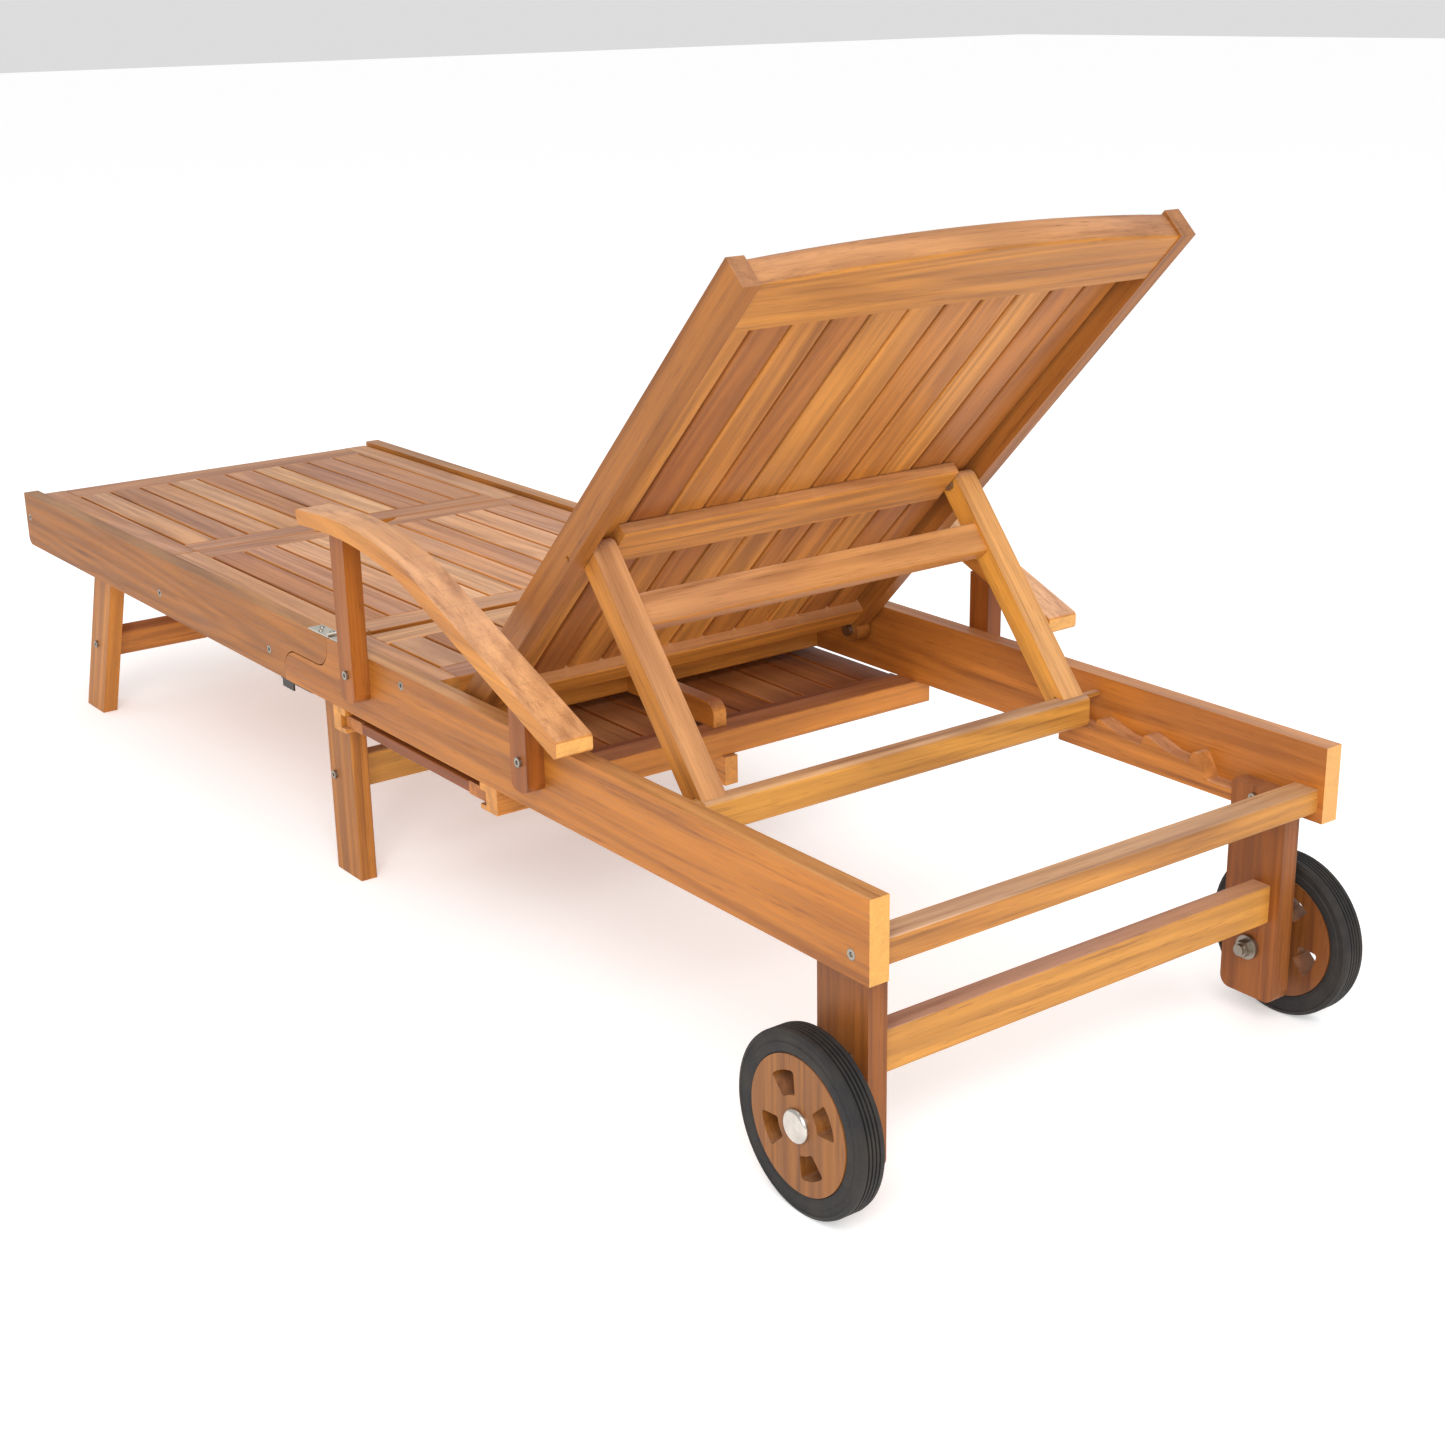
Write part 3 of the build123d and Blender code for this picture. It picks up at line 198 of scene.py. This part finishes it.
def timber(name, grain, cell, phase, tint_and_shade=PLAIN, end_grain=END_DEPTH, laminated=False):
    """Oiled hardwood. Its grain runs one way, and each board, a cell of the object, has its own tone."""
    g = Graph(name)
    coords = g.node("TexCoord")
    raw = coords.outputs["Object"]
    cells = g.vector("FLOOR", g.vector("DIVIDE", g.vector("ADD", raw, phase), cell))
    chance = g.node("TexWhiteNoise", {"Vector": cells}, noise_dimensions="3D")
    board = chance.outputs["Value"]
    turned = g.node("Mapping", {"Vector": raw, "Rotation": GRAIN_TURNS[grain]}).outputs["Vector"]
    placed = g.vector("ADD", turned, g.scale(chance.outputs["Color"], BOARD_SHIFT))

    def pattern(kind):
        """Noise that is drawn out along the grain."""
        squeeze, *settings = FIGURE[kind]
        return g.noise(g.vector("MULTIPLY", placed, (1.0, squeeze, 1.0)), *settings)

    rings = g.span(g.math("SINE", g.math("MULTIPLY", pattern("rings"), RING_COUNT)), -1.0, 1.0)
    bands = g.span(pattern("bands"), *BANDS_FADE)
    fibre = pattern("fibre")
    pores = g.span(pattern("pores"), *PORES_FADE)
    blotches = g.span(pattern("blotches"), *BLOTCHES_FADE, 0.0, HONEY_DEPTH)
    streaks = g.span(pattern("streaks"), *STREAKS_FADE)

    # Faces that look up are painted paler and pinker than the sides: painted light from above.
    up = g.node("SeparateXYZ", {0: coords.outputs["Normal"]}).outputs["Z"]
    painted_top_light = g.span(up, *UPWARD_FADE)
    tone = g.mix(painted_top_light, g.ramp(board, SIDE_TONES), g.ramp(board, TOP_TONES))
    tone = g.mix(blotches, tone, HONEY)
    figured = g.math("MULTIPLY_ADD", rings, RINGS_DEPTH, g.math("MULTIPLY", bands, BANDS_DEPTH))
    tone = g.mix(figured, tone, UMBER)
    tone = g.mix(g.math("MULTIPLY", streaks, STREAKS_DEPTH), tone, UMBER)
    tone = g.mix(g.math("MULTIPLY", pores, PORES_DEPTH), tone, UMBER)

    # End grain shows where a face looks along the grain.
    facing = g.node("Mapping", {"Vector": coords.outputs["Normal"], "Rotation": GRAIN_TURNS[grain]})
    end = g.math("ABSOLUTE", g.node("SeparateXYZ", {0: facing.outputs["Vector"]}).outputs["Y"])
    tone = g.mix(g.span(end, *END_FADE, 0.0, end_grain), tone, END_TONE)

    light = g.math("MULTIPLY_ADD", fibre, FIBRE_LIGHT, LEAST_LIGHT)
    if laminated:
        layer = g.node("SeparateXYZ", {0: turned}).outputs["Z"]
        line = g.math("FRACT", g.math("DIVIDE", layer, LAYER_THICK))
        light = g.math("MULTIPLY", light, g.span(line, 0.0, LINE_SHARE, LINE_LIGHT, 1.0))
    # The per-node multiplier carries each board's tone and, on some boards, painted shade.
    shaded = g.scale(g.vector("MULTIPLY", tone, tint_and_shade), light)
    g.set(Base_Color=shaded, Roughness=g.span(fibre, 0.2, 0.8, *WOOD_ROUGH), IOR=WOOD_IOR)
    g.set(Specular_IOR_Level=WOOD_SPECULAR, Coat_Weight=WOOD_COAT, Coat_Roughness=WOOD_COAT_ROUGH)
    height = g.math("MULTIPLY_ADD", pores, PORES_HEIGHT, g.math("MULTIPLY_ADD", rings, RINGS_HEIGHT, fibre))
    g.bump(height, *WOOD_BUMP)
    return g.material


# ------------------------------------------------------------------ metal, rubber
SCRATCH_SCALE = 900.0
CLOUD_SCALE = 60.0
DULL = 0.62  # how bright the dull patches are beside the bright ones
SCRATCH_ROUGH = 0.12
METAL_BUMP = (0.05, 0.1 * MM)
RUBBER_TONE = rgb(24, 22, 22)
DUST_TONE = rgb(74, 64, 52)
DUST_DEPTH = 0.4
GRIT_SCALE = 500.0
DUST_SCALE = 28.0
RUBBER_ROUGH = (0.62, 0.85)
RUBBER_BUMP = (0.25, 0.3 * MM)


def metal(name, colour, rough):
    """Plated steel with fine wear."""
    g = Graph(name)
    place = g.node("TexCoord").outputs["Object"]
    fine = g.noise(place, SCRATCH_SCALE, 2.0)
    cloud = g.noise(place, CLOUD_SCALE, 3.0)
    dulled = tuple(c * DULL for c in colour[:3]) + (1.0,)
    tone = g.mix(g.span(cloud, 0.4, 0.75, 0.0, 0.5), colour, dulled)
    g.set(Base_Color=tone, Metallic=1.0, Roughness=g.span(fine, 0.3, 0.7, rough, rough + SCRATCH_ROUGH))
    g.bump(fine, *METAL_BUMP)
    return g.material


def rubber(name):
    """Charcoal tyre rubber with brownish dust."""
    g = Graph(name)
    place = g.node("TexCoord").outputs["Object"]
    fine = g.noise(place, GRIT_SCALE, 4.0, 0.7)
    cloud = g.noise(place, DUST_SCALE, 4.0, 0.6)
    dust = g.math("MULTIPLY", g.span(cloud, 0.35, 0.7), g.span(fine, 0.3, 0.8, 0.4, 1.0))
    tone = g.mix(g.math("MULTIPLY", dust, DUST_DEPTH), RUBBER_TONE, DUST_TONE)
    g.set(Base_Color=tone, Roughness=g.span(fine, 0.2, 0.8, *RUBBER_ROUGH))
    g.bump(fine, *RUBBER_BUMP)
    return g.material


def give(node_name, material):
    """A CAD node takes one material."""
    mesh = NODES[node_name].data
    mesh.materials.clear()
    mesh.materials.append(material)


# Pitch of the slats: the width that they share, over their number.
DECK_PITCH = 476.0 / 10 * MM
SEAT_PITCH = 508.0 / 11 * MM
BACK_PITCH = 46.5 * MM
TRAY_PITCH = 604.0 / 13 * MM
WIDE = 4.0  # wider than the object, so a cell this wide holds every board
WHOLE = (WIDE, WIDE, WIDE)
TIMBER = {
    # node: (grain, size of a cell in metres, phase of the cells and of the pattern of chance)
    "foot_rail_left": ("y", WHOLE, (0.1, 2, 1)),
    "foot_rail_right": ("y", WHOLE, (5, 7, 1)),
    "head_rail_left": ("y", WHOLE, (9, 2, 1)),
    "head_rail_right": ("y", WHOLE, (13, 3, 5)),
    "foot_legs": ("foot_leg", WHOLE, (0, 2, 1)),
    "mid_legs": ("z", WHOLE, (0, 6, 1)),
    "wheel_legs": ("z", WHOLE, (0, 10, 1)),
    "leg_stretchers": ("x", (WIDE, 1.0, WIDE), (2, 0.5, 1)),
    "foot_stretcher": ("x", WHOLE, (2, 14, 1)),
    "head_crossbar": ("x", WHOLE, (2, 18, 1)),
    "seat_joist": ("x", WHOLE, (2, 22, 1)),
    "foot_joists": ("x", (WIDE, 0.3, WIDE), (2, 0.1, 1)),
    "ledge_cleats": ("y", WHOLE, (0, 26, 1)),
    "racks": ("y", WHOLE, (0, 30, 1)),
    "arms": ("arm", WHOLE, (0, 34, 1)),
    "arm_posts": ("z", (WIDE, 0.28, WIDE), (0, 0, 1)),
    "tray_guides": ("x", (WIDE, 0.2, WIDE), (2, 0, 1)),
    "tray_centre_boards": ("y", (WIDE, WIDE, 0.206), (2, 38, 0)),
    "seat_stiles": ("y", WHOLE, (0, 42, 1)),
    "seat_cross_rails": ("x", (WIDE, 0.12, WIDE), (2, 0, 1)),
    "seat_slats": ("y", (SEAT_PITCH, WIDE, WIDE), (SEAT_PITCH / 2, 2, 1)),
    "thigh_stiles": ("y", WHOLE, (0, 46, 1)),
    "thigh_cross_rails": ("x", (WIDE, 0.3, WIDE), (2, 0, 1)),
    "thigh_slats": ("y", (DECK_PITCH, WIDE, WIDE), (0, 2, 1)),
    "calf_stiles": ("y", WHOLE, (0, 50, 1)),
    "calf_cross_rails": ("x", (WIDE, 0.3, WIDE), (2, 0.15, 1)),
    "calf_slats": ("y", (DECK_PITCH, WIDE, WIDE), (0, 6, 1)),
    "back_stiles": ("back", WHOLE, (0, 54, 1)),
    "back_top_rail": ("x", WHOLE, (2, 58, 1)),
    "back_bottom_rail": ("x", WHOLE, (2, 62, 1)),
    "back_batten": ("x", WHOLE, (2, 66, 1)),
    "back_slats": ("back", (BACK_PITCH, WIDE, WIDE), (BACK_PITCH / 2, 2, 1)),
    "prop_struts": ("prop", WHOLE, (0, 70, 1)),
    "prop_foot_bar": ("x", WHOLE, (2, 74, 1)),
    "prop_cross_bar": ("x", WHOLE, (2, 78, 1)),
    "tray_rails": ("x", (WIDE, 0.2, WIDE), (2, 0, 1)),
    "tray_slats": ("y", (TRAY_PITCH, WIDE, WIDE), (TRAY_PITCH / 2, 10, 1)),
}
TINT_AND_SHADE = {
    # node: what its red, green and blue are multiplied by, for its tone and on some boards for painted
    # shade
    "foot_rail_left": (0.60, 0.52, 0.37), "foot_rail_right": (0.75, 0.70, 0.60),
    "head_rail_left": (0.95, 0.93, 0.74), "back_stiles": (0.56, 0.50, 0.54),
    "back_top_rail": (0.90, 0.97, 1.10), "back_slats": (0.96, 1.00, 1.25),
    # arm_posts: darkened as painted shade cast by the arms and backrest
    "back_batten": (1.05, 1.10, 1.15), "arms": (1.40, 1.62, 1.80), "arm_posts": (0.58, 0.45, 0.34),
    "mid_legs": (0.72, 0.70, 0.62), "wheel_legs": (0.50, 0.41, 0.37), "foot_legs": (0.85, 0.80, 0.70),
    "head_crossbar": (1.05, 1.30, 1.60), "leg_stretchers": (1.00, 1.20, 1.50),
    "prop_struts": (1.10, 1.25, 1.35), "prop_cross_bar": (1.20, 1.35, 1.40),
    # tray_rails and tray_slats: darkened as painted shade under the seat
    "prop_foot_bar": (1.05, 1.25, 1.50), "tray_rails": (0.72, 0.56, 0.44),
    "tray_slats": (0.60, 0.44, 0.28),
    "thigh_slats": (1.15, 1.17, 1.25), "thigh_stiles": (1.10, 1.12, 1.15),
}
END_GRAIN = {"head_rail_left": 0.55, "head_rail_right": 0.55, "arms": 0.3}
HUB_TINT = (0.47, 0.43, 0.44)
for node, (grain, cell, phase) in TIMBER.items():
    give(node, timber("timber_" + node, grain, cell, phase, TINT_AND_SHADE.get(node, PLAIN),
                      END_GRAIN.get(node, END_DEPTH), node == "arms"))

zinc = metal("zinc_steel", rgb(158, 152, 142), 0.3)
bright_zinc = metal("bright_zinc", rgb(204, 198, 186), 0.3)
dark_steel = metal("dark_steel", rgb(74, 68, 64), 0.36)
chrome = metal("chrome_cap", rgb(206, 200, 192), 0.2)
for node in ("hinge_screws_head", "hinge_screws_foot", "hinge_pins", "bolts_head", "bolts_foot", "axles",
             "axle_nuts", "axle_washers", "latch_screws", "latch_pins", "back_pivot_bolts", "prop_bolts",
             "thigh_pins"):
    give(node, zinc)
for node in ("hinge_leaves_head", "hinge_leaves_foot"):
    give(node, bright_zinc)
for node in ("latch_left", "latch_right"):
    give(node, dark_steel)
hub_wood = timber("hub_wood", "z", WHOLE, (0, 82, 1), HUB_TINT)
tyre_rubber = rubber("tyre_rubber")
for label in ("left", "right"):
    give("wheel_hub_" + label, hub_wood)
    give("wheel_tyre_" + label, tyre_rubber)
    give("wheel_cap_" + label, chrome)


# ------------------------------------------------------------------ tyres with tread
TREAD_RIBS = 5
GROOVE_WIDE = 1.8 * MM
GROOVE_DEEP = 2.2 * MM
GROOVE_TAPER = 0.3 * MM
LATHE_STEPS = 144
TYRE_BORE = 66 * MM
SHOULDER = 4.5 * MM
SHOULDER_DROP = 0.6 * MM
SHOULDER_POINT = 0.45  # where on the shoulder that drop is, as a share of its width
# The sidewall's depth at a distance in from the tread, and then at a distance out from the bore.
WALL_FROM_TREAD = ((SHOULDER, 0.0), (SHOULDER + 1 * MM, 0.9 * MM), (11 * MM, 0.9 * MM), (12 * MM, 0.0))
WALL_FROM_BORE = ((5 * MM, 0.0), (1 * MM, 0.8 * MM), (0.0, 2 * MM))


def lathe(name, profile, centre, steps):
    """A ring about X: profile is a closed loop of (radius, distance along X)."""
    mesh = bpy.data.meshes.new(name)
    made = bmesh.new()
    rings = []
    for step in range(steps):
        turn = 2 * pi * step / steps
        rings.append([made.verts.new((x, centre[1] + r * cos(turn), centre[2] + r * sin(turn)))
                      for r, x in profile])
    for step in range(steps):
        here, there = rings[step], rings[(step + 1) % steps]
        for i in range(len(profile)):
            j = (i + 1) % len(profile)
            made.faces.new((here[i], here[j], there[j], there[i]))
    bmesh.ops.recalc_face_normals(made, faces=made.faces)
    made.to_mesh(mesh)
    made.free()
    obj = bpy.data.objects.new(name, mesh)
    bpy.context.scene.collection.objects.link(obj)
    return obj


def make_tyre(label):
    """A solid rubber tyre with a ribbed tread and a sunk band on each sidewall."""
    low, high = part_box("wheel_tyre_" + label)
    centre = [(a + b) / 2 for a, b in zip(low, high)]
    radius = (high[2] - low[2]) / 2
    left, right = low[0], high[0]
    crown = [(radius - SHOULDER_DROP, left + SHOULDER * SHOULDER_POINT)]
    inner, outer = left + SHOULDER, right - SHOULDER
    rib = (outer - inner - (TREAD_RIBS - 1) * GROOVE_WIDE) / TREAD_RIBS
    place = inner
    for number in range(TREAD_RIBS):
        crown += [(radius, place), (radius, place + rib)]
        if number < TREAD_RIBS - 1:
            crown += [(radius - GROOVE_DEEP, place + rib + GROOVE_TAPER),
                      (radius - GROOVE_DEEP, place + rib + GROOVE_WIDE - GROOVE_TAPER)]
        place += rib + GROOVE_WIDE
    crown.append((radius - SHOULDER_DROP, right - SHOULDER * SHOULDER_POINT))
    wall = [(radius - r, x) for r, x in WALL_FROM_TREAD] + [(TYRE_BORE + r, x) for r, x in WALL_FROM_BORE]
    profile = crown + [(r, right - x) for r, x in wall] + [(r, left + x) for r, x in reversed(wall)]
    tyre = lathe("tyre_" + label, profile, centre, LATHE_STEPS)
    tyre.data.materials.append(tyre_rubber)
    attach(tyre, "wheel_" + label)
    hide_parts("wheel_tyre_" + label)


for label in ("left", "right"):
    make_tyre(label)


# ------------------------------------------------------------------ softly rounded boards
WELD_WITHIN = 0.01 * MM
SHARP = radians(50)


def soften(obj, width):
    """Rounds a board's sharp edges by a bevel modifier."""
    weld = obj.modifiers.new("weld", "WELD")
    weld.merge_threshold = WELD_WITHIN
    bevel = obj.modifiers.new("arris", "BEVEL")
    bevel.width = width
    bevel.segments = 2
    bevel.limit_method = "ANGLE"
    bevel.angle_limit = SHARP
    bevel.harden_normals = False


# The prop's struts keep their sharp edges: the bevel left a black sliver on one of them.
for node in TIMBER:
    if node != "prop_struts":
        soften(NODES[node], ARM_ARRIS if node == "arms" else ARRIS)

# ------------------------------------------------------------------ floor, light, camera
FLOOR_HALF = 30.0
FLOOR_Z = -0.5 * MM
FLOOR_TONE = (0.86, 0.86, 0.86, 1.0)
FLOOR_GLOW = 0.36
WHITE = (1.0, 1.0, 1.0, 1.0)
WORLD_LIGHT = 0.72
bpy.ops.mesh.primitive_plane_add(size=2 * FLOOR_HALF, location=(0, 0, FLOOR_Z))
floor = bpy.context.object
floor.name = "studio_floor"
pale = Graph("pale_floor")
pale.set(Base_Color=FLOOR_TONE, Roughness=0.9, Emission_Color=WHITE, Emission_Strength=FLOOR_GLOW)
floor.data.materials.append(pale.material)

world = bpy.data.worlds.new("soft_white")
bpy.context.scene.world = world
world.use_nodes = True
world.node_tree.nodes["Background"].inputs["Color"].default_value = WHITE
world.node_tree.nodes["Background"].inputs["Strength"].default_value = WORLD_LIGHT


def softbox(name, place, target, size, power):
    """A square area light aimed at a point."""
    data = bpy.data.lights.new(name, "AREA")
    data.size = size
    data.energy = power
    lamp = bpy.data.objects.new(name, data)
    bpy.context.scene.collection.objects.link(lamp)
    lamp.location = place
    lamp.rotation_euler = (Vector(target) - Vector(place)).to_track_quat("-Z", "Y").to_euler()


MIDDLE = (0.0, 0.0, 0.3)
BOX_WIDE = 2.4
softbox("key", (2.2, 3.2, 2.6), MIDDLE, BOX_WIDE, 125.0)
softbox("top", (-0.4, -0.4, 3.8), MIDDLE, BOX_WIDE, 32.0)

# The camera as solved from the photograph: metres, radians and millimetres.
CAMERA_AT = (1.3728, 2.2373, 1.0355)
CAMERA_YAW = -2.2051
CAMERA_PITCH = -0.3299
CAMERA_ROLL = -0.0182
LENS = 53.71
SENSOR = 36.0
camera_data = bpy.data.cameras.new("camera")
camera_data.lens = LENS
camera_data.sensor_width = SENSOR
camera = bpy.data.objects.new("camera", camera_data)
bpy.context.scene.collection.objects.link(camera)
level = cos(CAMERA_PITCH)
forward = Vector((level * cos(CAMERA_YAW), level * sin(CAMERA_YAW), sin(CAMERA_PITCH)))
right = forward.cross(Vector((0, 0, 1))).normalized()
up = right.cross(forward)
turned_right = right * cos(CAMERA_ROLL) + up * sin(CAMERA_ROLL)
turned_up = turned_right.cross(forward)
basis = Matrix((turned_right, turned_up, -forward)).transposed()
camera.matrix_world = Matrix.Translation(CAMERA_AT) @ basis.to_4x4()
bpy.context.scene.camera = camera
bpy.context.scene.view_settings.view_transform = "Standard"
